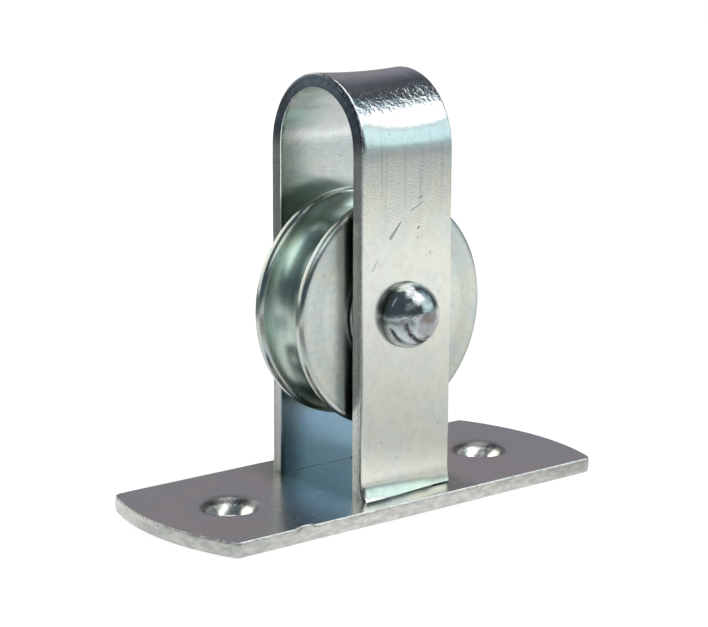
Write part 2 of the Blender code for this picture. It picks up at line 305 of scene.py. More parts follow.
def dress(piece, material, body, node):
    """Shade a finished piece, give it its material and seat it on its body in place of its node."""
    piece.data.materials.clear()
    piece.data.materials.append(material)
    piece.data.shade_smooth()
    piece.data.set_sharp_from_angle(angle=SHARP_ANGLE)
    weighted = piece.modifiers.new("flat_faces_stay_flat", "WEIGHTED_NORMAL")
    weighted.keep_sharp = True
    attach(piece, body)
    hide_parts(node)


# Strap

def strap_section():
    """Section of the strip as (across, depth below the outer face) points."""
    corners = [
        (STRAP_HALF, STRAP_THICKNESS, STRAP_INNER_CORNER),
        (-STRAP_HALF, STRAP_THICKNESS, STRAP_INNER_CORNER),
        (-STRAP_HALF, 0.0, STRAP_OUTER_CORNER),
        (STRAP_HALF, 0.0, STRAP_OUTER_CORNER),
    ]
    outline = rounded_loop(corners)
    section = []
    for i, point in enumerate(outline):
        section.append(point)
        after = outline[(i + 1) % len(outline)]
        run = after[0] - point[0]
        if abs(run) > STRAP_HALF:
            for k in range(1, WIDTH_STEPS):
                section.append((point[0] + run * k / WIDTH_STEPS, point[1]))
    return section


def bend_tilt(run, radius):
    """Tilt of the outer face at a run along the strip from where a sharp bend would start."""
    if run < BEND_EASE:
        return max(0.0, run + BEND_EASE) ** 2 / (4.0 * BEND_EASE * radius)
    return run / radius


def half_bend():
    """Half of the arch, from a leg up to the crown: (distance from the middle, height, tilt, run)."""
    radius = LEG_FACE - BEND_EASE ** 2 / (6.0 * LEG_FACE)
    step = (radius * math.pi / 2 + BEND_EASE) / ARCH_STEPS
    out, up, run = LEG_FACE, 0.0, -BEND_EASE
    points = [(out, up, 0.0, run)]
    for _ in range(ARCH_STEPS):
        tilt = bend_tilt(run + step / 2, radius)
        out -= step * math.sin(tilt)
        up += step * math.cos(tilt)
        run += step
        points.append((out, up, bend_tilt(run, radius), run))
    lift = STRAP_HIGH.z - up
    return [(out, up + lift, tilt, run) for out, up, tilt, run in points]


def strap_stations():
    """Outer point, outward normal and run below the bend, from the far foot over to the near one."""
    bend = half_bend()
    foot_z = PLATE_HIGH.z
    straight = bend[0][1] - foot_z
    shares = [(i / LEG_STEPS) ** LEG_SPACING_POWER for i in range(LEG_STEPS)]
    heights = [straight * share for share in shares]
    leg = [(LEG_FACE, foot_z + height, 0.0, height - straight - BEND_EASE) for height in heights]
    half = leg + bend
    stations = []
    for side, points in ((1, half), (-1, reversed(half[:-1]))):
        for out, z, tilt, run in points:
            normal = Vector((0.0, side * math.cos(tilt), math.sin(tilt)))
            stations.append((Vector((0.0, side * out, z)), normal, -run))
    return stations


def strap_point(station, across, depth):
    """Place of one section point at one station, with the bend's saddle, the foot's flare and the ripple."""
    outer_point, normal, below_bend = station
    side = math.copysign(1.0, across)
    bend = 1.0 - smooth_step(below_bend, -BEND_BLEND, 0.0)
    outside = 1.0 - depth / STRAP_THICKNESS
    skin_place = (outer_point + Vector((across, 0.0, 0.0))) / BEND_PEEL_PITCH
    sink = SADDLE_DEPTH * bend * (1.0 - (across / STRAP_HALF) ** 2)
    sink += BEND_PEEL * bend * outside * (1.0 + noise.noise(skin_place))
    lift = max(0.0, 1.0 - (outer_point.z - PLATE_HIGH.z) / FOOT_FLARE_HEIGHT)
    to_right = (across / STRAP_HALF + 1.0) / 2
    share = FOOT_FLARE_SHARES[0] + (FOOT_FLARE_SHARES[1] - FOOT_FLARE_SHARES[0]) * to_right
    share += FOOT_UNEVEN * noise.noise(Vector((across / FOOT_UNEVEN_PITCH, normal.y, 0.0)))
    flare = FOOT_FLARE * lift ** FOOT_FLARE_POWER * outside * share
    if normal.y > 0.0:
        flare *= FOOT_FLARE_FAR
    seam = FOOT_SEAM * lift * smooth_step(to_right, *FOOT_SEAM_SPAN)
    seam *= 1.0 + FOOT_UNEVEN * noise.noise(Vector((across / FOOT_UNEVEN_PITCH, 0.0, normal.y)))
    drawn_in = 1.0 - BEND_NARROWING / STRAP_HALF * bend * outside
    edge = smooth_step(abs(across), STRAP_HALF - STRAP_OUTER_CORNER, STRAP_HALF)
    seed = outer_point + Vector((side * STRAP_HALF, depth, 0.0))
    ripple = SHEAR_RIPPLE * edge * (noise.noise(seed / SHEAR_RIPPLE_PITCH) - 1.0) / 2
    place = outer_point + normal * (flare - depth - sink)
    place.x = across * drawn_in + side * ripple
    place.z += seam
    return place


def staked_tenon(name, side, top_z, bottom_z, gap):
    """A foot tenon whose hammered end spreads; with a gap it is the tool for the plate's slot."""
    middle = side * (LEG_FACE - STRAP_THICKNESS / 2)
    half_width = TENON_WIDTH / 2 + gap
    half_thickness = STRAP_THICKNESS / 2 + gap
    rings = []
    for z in (bottom_z, STAKE_DEPTH, top_z):
        spread = STAKE_SPREAD * max(0.0, STAKE_DEPTH - z) / STAKE_DEPTH
        x = half_width + spread
        y = half_thickness + spread
        rings.append([(-x, middle - y, z), (x, middle - y, z), (x, middle + y, z), (-x, middle + y, z)])
    return skin(name, rings)


def make_strap(material):
    section = strap_section()
    rings = [[strap_point(station, u, d) for u, d in section] for station in strap_stations()]
    strap = skin("bent_strap", rings, laddered=True)
    top_z = PLATE_HIGH.z + STRAP_THICKNESS
    tenons = [staked_tenon("tenon", side, top_z, TENON_END_Z, 0.0) for side in (-1, 1)]
    cut_or_join(strap, tenons, "UNION")
    reach = STRAP_HIGH.y + CUT_OVERRUN
    profile = [(0.0, reach), (AXLE_HOLE_RADIUS, reach), (AXLE_HOLE_RADIUS, -reach), (0.0, -reach)]
    cut_or_join(strap, [turned("axle_hole", profile, False, SHAFT_STEPS, AXLE_ON_CENTRE)], "DIFFERENCE")
    dress(strap, material, "frame", "strap")


# Plate

def plate_outline():
    half_width = PLATE_HIGH.y
    centre = (PLATE_HIGH.x - PLATE_END_RADIUS, -PLATE_END_OFFSET)
    near_angle = math.asin((PLATE_END_OFFSET - half_width) / PLATE_END_RADIUS)
    far_angle = math.asin((PLATE_END_OFFSET + half_width) / PLATE_END_RADIUS)
    right_end = arc(centre, (PLATE_END_RADIUS, PLATE_END_RADIUS), near_angle, far_angle, END_STEPS)
    near_right = fillet((0.0, -half_width), right_end[0], right_end[1], PLATE_ROUND_CORNER)
    far_right = fillet(right_end[-2], right_end[-1], (0.0, half_width), PLATE_SHARP_CORNER)
    right_half = near_right + right_end[2:-2] + far_right
    left_half = [(-x, -y) for x, y in right_half]
    return even_points(right_half + left_half, PLATE_POINT_SPACING)


def plate_levels():
    """(inset, height) levels of the sheared edge, from the underside to the top face."""
    top = PLATE_HIGH.z
    low_radii = (PLATE_BOTTOM_ROUND, PLATE_BOTTOM_ROUND)
    low_centre = (PLATE_BREAK_TAPER + PLATE_BOTTOM_ROUND, PLATE_LOW.z + PLATE_BOTTOM_ROUND)
    low = arc(low_centre, low_radii, -math.pi / 2, -math.pi, CORNER_STEPS)
    break_radii = (PLATE_TOP_BREAK_RADIUS, PLATE_TOP_BREAK_RADIUS)
    break_foot = top - PLATE_TOP_BREAK_RADIUS * math.sin(PLATE_TOP_BREAK_TILT)
    break_end = math.pi - PLATE_TOP_BREAK_TILT
    lean = arc((PLATE_TOP_BREAK_RADIUS, break_foot), break_radii, math.pi, break_end, CORNER_STEPS)
    burnish = [(0.0, PLATE_LOW.z + top * share) for share in PLATE_BURNISH]
    return low + burnish + lean + [(PLATE_RIM_WIDTH * PLATE_RIM_MIDDLE, top), (PLATE_RIM_WIDTH, top)]


def burr_at(point):
    """Height of the nub and depth of the tear beside it at a point of the plate's outline."""
    offset = abs(point.x - BURR_X) / BURR_HALF_WIDTH
    if point.y > 0.0 or offset > BURR_REACH:
        return 0.0, 0.0
    cap = math.sqrt(max(0.0, 1.0 - offset ** 2))
    tear = math.exp(-((offset - BURR_NOTCH_PLACE) / BURR_NOTCH_WIDTH) ** 2)
    return BURR_HEIGHT * cap, BURR_NOTCH * tear


def plate_rings():
    outline = plate_outline()
    count = len(outline)
    inward = []
    for i, point in enumerate(outline):
        along = outline[(i + 1) % count] - outline[i - 1]
        inward.append(Vector((-along.y, along.x)).normalized())
    rings = []
    for inset, z in plate_levels():
        upper = smooth_step(z, PLATE_HIGH.z * PLATE_TORN_START, PLATE_HIGH.z)
        at_edge = 1.0 - smooth_step(inset, PLATE_RIM_WIDTH * PLATE_RIM_FADE, PLATE_RIM_WIDTH)
        ripple = PLATE_EDGE_RIPPLE * (PLATE_EDGE_RIPPLE_LOW + (1.0 - PLATE_EDGE_RIPPLE_LOW) * upper)
        ring = []
        for point, into in zip(outline, inward):
            seed = Vector((point.x, point.y, z)) / PLATE_EDGE_RIPPLE_PITCH
            fine = FINE_RIPPLE_SHARE * noise.noise(seed * FINE_RIPPLE_PITCH)
            uneven = (1.0 + noise.noise(seed) + fine) / 2
            rise, tear = burr_at(point)
            step_in = inset + at_edge * (ripple * uneven + tear * upper)
            place = point + into * max(0.0, step_in)
            ring.append((place.x, place.y, z + rise * upper * at_edge))
        rings.append(ring)
    return rings


def screw_hole_tool(x):
    """Tool for a dished countersink: a round wall from the plate's top down to the plain hole."""
    lip_radius = SCREW_HOLE_RADIUS + DISH_ROUND * math.sin(DISH_TURN)
    lip_centre = (lip_radius, PLATE_HIGH.z - DISH_ROUND)
    dish = arc(lip_centre, (DISH_ROUND, DISH_ROUND), math.pi / 2, math.pi / 2 + DISH_TURN, DISH_STEPS)
    top = PLATE_HIGH.z + CUT_OVERRUN
    above = [(0.0, top), (lip_radius, top)]
    below = [(SCREW_HOLE_RADIUS, -CUT_OVERRUN), (0.0, -CUT_OVERRUN)]
    tool = turned("screw_hole", above + dish + below, False, SHAFT_STEPS, (x, 0.0, 0.0))
    tool.rotation_euler = (math.pi / 2, 0.0, 0.0)
    return tool


def make_plate(material):
    plate = skin("pressed_plate", plate_rings())
    tools = [screw_hole_tool(-SCREW_X), screw_hole_tool(SCREW_X)]
    for side in (-1, 1):
        tools.append(staked_tenon("slot", side, PLATE_HIGH.z + CUT_OVERRUN, -CUT_OVERRUN, SLOT_GAP))
    cut_or_join(plate, tools, "DIFFERENCE")
    dress(plate, material, "frame", "base_plate")


# Pieces turned about the axle

def rivet_profile():
    """Far head, shank and near head, with each crown exactly on the axle."""
    dome_foot = RIVET_SEAT + RIVET_COLLAR
    dome_height = RIVET_HEAD_HEIGHT - RIVET_COLLAR
    dome = arc((0.0, dome_foot), (RIVET_HEAD_RADIUS, dome_height), math.pi / 2, 0.0, DOME_STEPS)
    dome[0] = (0.0, RIVET_HIGH.y)
    collar = [
        (RIVET_HEAD_RADIUS, RIVET_SEAT + RIVET_COLLAR_ROUND),
        (RIVET_HEAD_RADIUS - RIVET_COLLAR_ROUND, RIVET_SEAT),
        (RIVET_RADIUS, RIVET_SEAT),
    ]
    far_half = dome + collar
    near_half = [(radius, -along) for radius, along in reversed(far_half)]
    return far_half + near_half


def worn_by_set(place):
    """How far the rivet set pushed in one point of a head, seen from that head's own side."""
    radius = math.hypot(place.x, place.z)
    dent = RIVET_DENT * (1.0 + noise.noise(place / RIVET_DENT_PITCH)) / 2
    turn = math.atan2(place.z, place.x)
    if turn > math.pi / 2:
        turn -= 2 * math.pi
    start, end = RIVET_CREASE_TURNS
    inner, outer = RIVET_CREASE_RADII
    middle = inner + (outer - inner) * smooth_step(turn, RIVET_CREASE_SWING, end)
    along = smooth_step(turn, start, start + RIVET_CREASE_TAPER)
    along *= 1.0 - smooth_step(turn, end - RIVET_CREASE_TAPER, end)
    across = math.exp(-((radius - middle) / RIVET_CREASE_WIDTH) ** 2)
    return dent + RIVET_CREASE_DEPTH * along * across


def make_rivet(material):
    rivet = turned("round_head_rivet", rivet_profile(), False, RIVET_STEPS, AXLE_ON_CENTRE)
    dome_foot = RIVET_SEAT + RIVET_COLLAR
    for vertex in rivet.data.vertices:
        on_dome = smooth_step(abs(vertex.co.y), dome_foot, dome_foot + RIVET_COLLAR)
        if on_dome > 0.0:
            outward = (vertex.co - Vector((0.0, math.copysign(dome_foot, vertex.co.y), 0.0))).normalized()
            vertex.co -= outward * worn_by_set(vertex.co) * on_dome
    dress(rivet, material, "frame", "axle_rivet")


def face_points():
    """Far face of the wheel from its bore outwards: a hub boss, then a step down to the flat face."""
    points = [(SHEAVE_BORE_RADIUS, SHEAVE_HALF - EDGE_BREAK), (SHEAVE_BORE_RADIUS + EDGE_BREAK, SHEAVE_HALF)]
    for i in range(FACE_STEPS + 1):
        share = i / FACE_STEPS
        drop = HUB_HEIGHT * smooth_step(share, 0.0, 1.0)
        points.append((HUB_RADIUS + HUB_SLOPE * share, SHEAVE_HALF - drop))
    return points


def sheave_profile():
    """Far face, far rim, groove, near rim and near face, as a closed outline."""
    groove_half = SHEAVE_HALF - SHEAVE_RIM
    edge_centre = (SHEAVE_RADIUS - SHEAVE_EDGE_ROUND, SHEAVE_HALF - HUB_HEIGHT - SHEAVE_EDGE_ROUND)
    edge = arc(edge_centre, (SHEAVE_EDGE_ROUND, SHEAVE_EDGE_ROUND), math.pi / 2, 0.0, RIM_STEPS)
    lip_centre = (SHEAVE_RADIUS - SHEAVE_RIM_ROUND, groove_half + SHEAVE_RIM_ROUND)
    lip = arc(lip_centre, (SHEAVE_RIM_ROUND, SHEAVE_RIM_ROUND), 0.0, -math.pi / 2, RIM_STEPS)
    power = 2.0 / GROOVE_SQUARENESS
    groove = []
    for i in range(1, GROOVE_STEPS):
        angle = math.pi * i / GROOVE_STEPS
        sink = (GROOVE_DEPTH - SHEAVE_RIM_ROUND) * math.sin(angle) ** power
        along = math.copysign(groove_half * abs(math.cos(angle)) ** power, math.cos(angle))
        groove.append((SHEAVE_RADIUS - SHEAVE_RIM_ROUND - sink, along))
    far_side = face_points() + edge + lip
    near_side = [(r, -along) for r, along in reversed(far_side)]
    return far_side + groove + near_side


def make_sheave(material):
    sheave = turned("grooved_sheave", sheave_profile(), True, WHEEL_STEPS, AXLE)
    dress(sheave, material, "wheel", "sheave")


def ring_profile(outer_radius, bore_radius, length, edge_break):
    half = length / 2
    return rounded_loop([
        (outer_radius, half, edge_break),
        (outer_radius, -half, edge_break),
        (bore_radius, -half, edge_break),
        (bore_radius, half, edge_break),
    ])


def make_rings(materials):
    """Sleeve, bush and thrust washers, each between its bore and its node's outside."""
    pieces = (
        ("spacer_tube", "spacer_sleeve", SLEEVE_BORE_RADIUS, EDGE_BREAK, "frame", "sleeve_steel"),
        ("bronze_bush", "bearing_bush", BUSH_BORE_RADIUS, EDGE_BREAK, "bush", "bush_bronze"),
        ("near_thrust_washer", "near_washer", WASHER_BORE_RADIUS, WASHER_EDGE_BREAK, "frame", "washer_zinc"),
        ("far_thrust_washer", "far_washer", WASHER_BORE_RADIUS, WASHER_EDGE_BREAK, "frame", "washer_zinc"),
    )
    for name, node, bore, edge_break, body, slot in pieces:
        low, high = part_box(node)
        profile = ring_profile((high.x - low.x) / 2, bore, high.y - low.y, edge_break)
        ring = turned(name, profile, True, SHAFT_STEPS, (low + high) / 2)
        dress(ring, materials[slot], body, node)


# Shader helpers, which find the node tree from the sockets that they are given

MIX_COLOURS = (6, 7)           # a Mix node's colour inputs, whose names its other kinds share
MIX_RESULT = 2
PATCHY = (4.0, 0.65)           # detail and roughness of a cloud
GRAINY = (3.0, 0.6)


def add_node(tree, kind, inputs=(), **settings):
    """A node with its settings, and each input set to a value or linked to a socket."""
    made = tree.nodes.new(kind)
    for key, value in settings.items():
        setattr(made, key, value)
    for key, value in dict(inputs).items():
        if isinstance(value, bpy.types.NodeSocket):
            tree.links.new(value, made.inputs[key])
        else:
            made.inputs[key].default_value = value
    return made


def tree_of(*values):
    """The node tree that holds the first socket among some values."""
    return next(value.id_data for value in values if isinstance(value, bpy.types.NodeSocket))


def feed(node, label, value):
    tree_of(value).links.new(value, node.inputs[label])


def calc(operation, first, second=0.0):
    inputs = {0: first, 1: second}
    return add_node(tree_of(first, second), "ShaderNodeMath", inputs, operation=operation).outputs[0]


def times(first, *others):
    for other in others:
        first = calc("MULTIPLY", first, other)
    return first


def plus(first, *others):
    for other in others:
        first = calc("ADD", first, other)
    return first


def minus(first, second):
    return calc("SUBTRACT", first, second)


def size_of(value):
    return calc("ABSOLUTE", value)


def hypotenuse(first, second):
    return calc("SQRT", plus(times(first, first), times(second, second)))


def spread(value, low, high, out_low=0.0, out_high=1.0):
    """A soft step between two outputs while the value goes from low to high; low may be the larger."""
    inputs = {"Value": value, "From Min": low, "From Max": high, "To Min": out_low, "To Max": out_high}
    made = add_node(tree_of(value), "ShaderNodeMapRange", inputs, interpolation_type="SMOOTHSTEP")
    return made.outputs["Result"]


def graded(mask, at_none, at_full):
    return spread(mask, 0.0, 1.0, at_none, at_full)


def band(value, rise, fall):
    """A mask that is 1 between a soft rise and a soft fall of the value."""
    return times(spread(value, *rise), spread(value, *fall))


def blend(factor, first, second):
    """A colour between two colours or colour sockets."""
    made = add_node(tree_of(factor), "ShaderNodeMix", {"Factor": factor}, data_type="RGBA")
    for i, colour in zip(MIX_COLOURS, (first, second)):
        if isinstance(colour, bpy.types.NodeSocket):
            feed(made, i, colour)
        else:
            made.inputs[i].default_value = (*colour, 1.0)
    return made.outputs[MIX_RESULT]


def cloud(vector, scale, detail=2.0, rough=0.5):
    inputs = {"Vector": vector, "Scale": scale, "Detail": detail, "Roughness": rough}
    return add_node(tree_of(vector), "ShaderNodeTexNoise", inputs).outputs["Fac"]


def split(vector):
    return add_node(tree_of(vector), "ShaderNodeSeparateXYZ", {"Vector": vector}).outputs


def vector_math(operation, first, second, result="Vector"):
    inputs = {0: first, 1: second}
    return add_node(tree_of(first), "ShaderNodeVectorMath", inputs, operation=operation).outputs[result]


def stretched(vector, scale):
    return vector_math("MULTIPLY", vector, scale)


def new_group(name, inputs, outputs):
    """A shader node group with named sockets: the group, what it is given and its output node."""
    group = bpy.data.node_groups.new(name, "ShaderNodeTree")
    for way, sockets in (("INPUT", inputs), ("OUTPUT", outputs)):
        for label, kind in sockets.items():
            group.interface.new_socket(label, in_out=way, socket_type="NodeSocket" + kind)
    return group, add_node(group, "NodeGroupInput").outputs, add_node(group, "NodeGroupOutput")


def place_group(group, inputs):
    return add_node(tree_of(*inputs.values()), "ShaderNodeGroup", inputs, node_tree=group).outputs


# Shared effects

FILM_STOPS = (                 # purple, blue, green, straw and pink
    (0.30, (0.56, 0.50, 0.62)),
    (0.43, (0.50, 0.62, 0.68)),
    (0.52, (0.58, 0.66, 0.58)),
    (0.62, (0.68, 0.66, 0.52)),
    (0.74, (0.64, 0.55, 0.60)),
)
BROAD_LINES = 0.17             # pitch of a turned piece's broad bands, against its fine lines
SPECK_CHANCE = (0.62, 1.0)
SPECK_SIZE = 0.16
RUB_STRETCH = (1.0, 1.0, 0.25)
RUB_LEVEL = (0.58, 0.75)
GOUGE_TIP = 0.35               # width of a gouge at its end, against its start
GOUGE_CORE = 0.3


def film_group():
    """Thin passivation film: soft clouds of colour over the plating's own colour."""
    inputs = {"Vector": "Vector", "Scale": "Float", "Plating": "Color", "Strength": "Float"}
    group, given, result = new_group("passivation_film", inputs, {"Color": "Color"})
    patches = cloud(given["Vector"], given["Scale"], 2.0, 0.55)
    ramp = add_node(group, "ShaderNodeValToRGB", {"Fac": patches})
    stops = ramp.color_ramp.elements
    stops[0].position = FILM_STOPS[0][0]
    stops[1].position = FILM_STOPS[-1][0]
    for position, _ in FILM_STOPS[1:-1]:
        stops.new(position)
    for stop, (_, colour) in zip(stops, FILM_STOPS):
        stop.color = (*colour, 1.0)
    feed(result, "Color", blend(given["Strength"], given["Plating"], ramp.outputs["Color"]))
    return group


def turning_group():
    """Fine lines left by a lathe, round the Y axis of the piece."""
    inputs = {"Vector": "Vector", "Pitch": "Float"}
    group, given, result = new_group("turning_lines", inputs, {"Height": "Float", "Sheen": "Float"})
    parts = split(given["Vector"])
    radius = hypotenuse(parts["X"], parts["Z"])
    section = add_node(group, "ShaderNodeCombineXYZ", {"X": radius, "Y": parts["Y"]}).outputs["Vector"]
    feed(result, "Height", cloud(section, given["Pitch"], 3.0, 0.7))
    feed(result, "Sheen", cloud(section, times(given["Pitch"], BROAD_LINES)))
    return group


def handling_group():
    """Specks and small rubs from handling in bulk."""
    inputs = {"Vector": "Vector", "Scale": "Float"}
    group, given, result = new_group("handling_marks", inputs, {"Specks": "Float", "Rubs": "Float"})
    cells = {"Vector": given["Vector"], "Scale": given["Scale"], "Randomness": 1.0}
    speck = add_node(group, "ShaderNodeTexVoronoi", cells, feature="F1").outputs
    chance = add_node(group, "ShaderNodeSeparateColor", {"Color": speck["Color"]}).outputs["Red"]
    size = spread(chance, *SPECK_CHANCE, out_high=SPECK_SIZE)
    feed(result, "Specks", calc("LESS_THAN", speck["Distance"], size))
    rub = cloud(stretched(given["Vector"], RUB_STRETCH), given["Scale"], 4.0, 0.7)
    feed(result, "Rubs", spread(rub, *RUB_LEVEL))
    return group


def gouge_group():
    """One straight scratch between two points, as a mask that is 1 along its middle."""
    inputs = {"Vector": "Vector", "Start": "Vector", "End": "Vector", "Width": "Float"}
    group, given, result = new_group("gouge_mark", inputs, {"Mask": "Float"})
    along = vector_math("SUBTRACT", given["End"], given["Start"])
    away = vector_math("SUBTRACT", given["Vector"], given["Start"])
    reach = vector_math("DOT_PRODUCT", away, along, "Value")
    length = vector_math("DOT_PRODUCT", along, along, "Value")
    ratio = {0: reach, 1: length}
    share = add_node(group, "ShaderNodeMath", ratio, operation="DIVIDE", use_clamp=True).outputs[0]
    scaled = {0: along, "Scale": share}
    foot = add_node(group, "ShaderNodeVectorMath", scaled, operation="SCALE").outputs["Vector"]
    gap = vector_math("DISTANCE", away, foot, "Value")
    width = times(given["Width"], graded(share, 1.0, GOUGE_TIP))
    feed(result, "Mask", spread(gap, width, times(width, GOUGE_CORE)))
    return group


FILM = film_group()
TURNING = turning_group()
HANDLING = handling_group()
GOUGE = gouge_group()

# Depths of the materials' relief
CRACKLE_RELIEF = 0.00012
EDGE_RELIEF = 0.00003
GOUGE_RELIEF = 0.00003
SKIN_RELIEF = 0.000012
PLATE_WAVE_RELIEF = 0.00005
PLATE_EDGE_RELIEF = 0.00004
WHEEL_LINE_RELIEF = 0.00003
RIVET_LINE_RELIEF = 0.00002
RIVET_DENT_RELIEF = 0.00006

# Strap finish: its colours, then where they change, in millimetres from the start to the end of each change
STRAP_SATIN = (0.755, 0.765, 0.690)
# Painted sheen: the film's darker, bluer cast where the bend turns against the light
STRAP_BEND_SHEEN = (0.62, 0.66, 0.69)
# Painted shade and reflection on the legs' inner faces: dark and bluish low down, light high up
STRAP_INSIDE_PAINTED_SHADE = ((0.275, 0.455, 0.66), (0.80, 0.85, 0.82))       # low and high on the inner faces
# Painted shade and reflection of the wheel on the inner faces, in a ring just outside its rim
STRAP_PAINTED_WHEEL_SHADE = (0.17, 0.24, 0.20)
# Painted shade on the near leg's inner face, which the far leg shows dark
STRAP_NEAR_INSIDE_SHADE = (0.27, 0.30, 0.24)
STRAP_MOTTLE = (0.46, 0.47, 0.44)
STRAP_STREAK = (0.33, 0.36, 0.37)
STRAP_SPECK = (0.28, 0.28, 0.27)
STRAP_GOUGE = (0.13, 0.14, 0.12)
# Painted shade in a thin ring on the leg round each rivet head
STRAP_RIVET_SHADE = (0.10, 0.11, 0.10)
# Worn rolled corner of the bend: partly real wear, partly a painted highlight
STRAP_CORNER_WORN_HIGHLIGHT = (0.86, 0.89, 0.90)
EDGE_TORN = ((0.32, 0.33, 0.33), (0.55, 0.56, 0.53))            # pits and grains
EDGE_BURNISHED = ((0.43, 0.46, 0.43), (0.52, 0.54, 0.51))
EDGE_AT_BEND = (0.07, 0.09, 0.12)
EDGE_AT_FAR_FOOT = (0.24, 0.25, 0.24)
OUTER_SKIN_DEPTH = (1.1, 0.7)
TORN_DEPTH = (1.65, 1.15)
BEND_HEIGHT = (59.5, 64.5)
INSIDE_SHADE_HEIGHT = (12.0, 50.0)
WHEEL_SHADE_RADIUS = (21.6, 19.4)
NEAR_INSIDE_SHADE_Y = (-3.0, -7.0)
FAR_SIDE_Y = (0.0, 2.0)
FAR_FOOT_HEIGHT = (27.0, 6.0)
STREAK_RISE = (46.0, 56.0)
STREAK_FALL = (66.0, 61.0)
CRACKLE_RISE = (66.8, 69.0)
CRACKLE_FALL = (72.6, 70.8)
RIVET_SHADE_RADIUS = (5.75, 5.5)
NEAR_FACE_Y = -12.3
GOUGES = (                     # the near leg's own: start and end as (x, z), width and strength
    ((-3.8, 47.4), (-1.6, 49.8), 0.44, 0.58),
    ((-7.6, 42.3), (-6.5, 43.9), 0.26, 0.34),
    ((0.8, 51.7), (3.6, 52.9), 0.26, 0.34),
    ((2.3, 48.5), (2.6, 48.7), 0.34, 0.60),
    ((2.2, 46.8), (2.4, 47.0), 0.24, 0.45),
    ((2.7, 53.7), (3.2, 53.9), 0.30, 0.50),
    ((5.0, 43.9), (5.2, 44.1), 0.24, 0.45),
)

# Plate finish
PLATE_ZINC = (0.60, 0.59, 0.61)
# Painted shade and reflection of the legs on the plate, between and round the strap
PLATE_STRAP_SHADE = (0.12, 0.15, 0.125)
PLATE_SPECK = (0.80, 0.80, 0.76)
PLATE_EDGE = ((0.46, 0.46, 0.44), (0.64, 0.63, 0.59))
# Worn top break of the plate's edge: partly real wear, partly a painted highlight
PLATE_WORN_HIGHLIGHT = (0.92, 0.91, 0.88)
# Painted highlight: the countersinks' walls lighter and yellower
DISH_PAINTED_HIGHLIGHT = (0.96, 0.95, 0.90)
# Painted shade in a dark ring round each countersink's lip
DISH_LIP_SHADE = (0.10, 0.10, 0.10)
STRAP_SHADE_X = (20.5, 12.5)
STRAP_SHADE_Y = (13.0, 10.5)
STRAP_SHADE_WAVER = 9.0
WORN_HIGHLIGHT_HEIGHT = (1.2, 1.9)
DISH_HIGHLIGHT_RADIUS = (4.2, 3.8)
LIP_SHADE_RISE = (3.6, 4.3)
LIP_SHADE_FALL = (5.4, 4.7)
TORN_END_X = (-38.0, -41.0)

# Wheel finish
SHEAVE_FACE = (0.72, 0.76, 0.69)
# Green tint of the groove's plating, also painted lighter than the faces as a painted highlight
SHEAVE_GROOVE_TINT_AND_LIGHT = (0.72, 0.93, 0.84)
SHEAVE_RIM_ZINC = (0.55, 0.58, 0.56)
SHEAVE_LINES = (0.30, 0.34, 0.30)
SHEAVE_MOTTLE = (0.44, 0.45, 0.42)
SHEAVE_SPECK = (0.30, 0.30, 0.29)
GROOVE_EDGE = (0.2, -0.3)      # beyond and within the groove's edge
RIM_EDGE = (1.5, 0.8)          # in from the rim
BRUSHING = 0.75                # brushed round the axle
BRUSHING_TURN = 0.25

# Rivet finish
RIVET_ZINC = (0.48, 0.52, 0.54)
RIVET_PATCH = (0.24, 0.23, 0.26)
# Painted shade in a band round the foot of each head
RIVET_FOOT_SHADE = (0.28, 0.30, 0.29)
RIVET_SMEAR = (0.22, 0.18, 0.17)
RIVET_CREASE_DARK = (0.07, 0.06, 0.06)
RIVET_FOOT_SHADE_RISE = (1.2, 0.5)   # above the seat
CREASE_DARK_CORE = 0.1
SMEAR_X = 0.9
SMEAR_SQUASH = 2.0
SMEAR_WAVER = 3.0
SMEAR_REACH = (4.4, 2.6)

# Finishes of the hidden turned pieces: plating, roughness, film, and the lathe lines' pitch and depth
TURNED_FINISHES = {
    "sleeve_steel": ((0.50, 0.50, 0.51), 0.28, 0.05, 3.0, 0.00003),
    "washer_zinc": ((0.58, 0.58, 0.58), 0.28, 0.15, 2.0, 0.00002),
    "bush_bronze": ((0.55, 0.38, 0.18), 0.34, 0.05, 2.4, 0.00003),
}
TURNED_SHADE = 0.6             # the lathe lines' darker colour, against the plating


# Materials

def new_material(name):
    material = bpy.data.materials.new(name)
    material.use_nodes = True
    return material, material.node_tree


def new_metal(name, roughness):
    """A metallic material with its shader, its coordinates in millimetres and its normals."""
    material, tree = new_material(name)
    shader = tree.nodes["Principled BSDF"]
    shader.inputs["Metallic"].default_value = 1.0
    shader.inputs["Roughness"].default_value = roughness
    coordinates = add_node(tree, "ShaderNodeTexCoord").outputs
    return material, shader, stretched(coordinates["Object"], (MILLIMETRES,) * 3), coordinates["Normal"]


def film_over(plating, place, scale, strength):
    """The passivation film on a plating colour or colour socket."""
    if not isinstance(plating, bpy.types.NodeSocket):
        plating = (*plating, 1.0)
    inputs = {"Vector": place, "Scale": scale, "Plating": plating, "Strength": strength}
    return place_group(FILM, inputs)["Color"]


def relief(shader, height, depth, under=None):
    """Bump of a given depth in metres on a shader, over another bump if one is given."""
    inputs = {"Height": height, "Distance": depth, "Strength": 1.0}
    if under is not None:
        inputs["Normal"] = under
    bump = add_node(tree_of(height), "ShaderNodeBump", inputs).outputs["Normal"]
    feed(shader, "Normal", bump)
    return bump


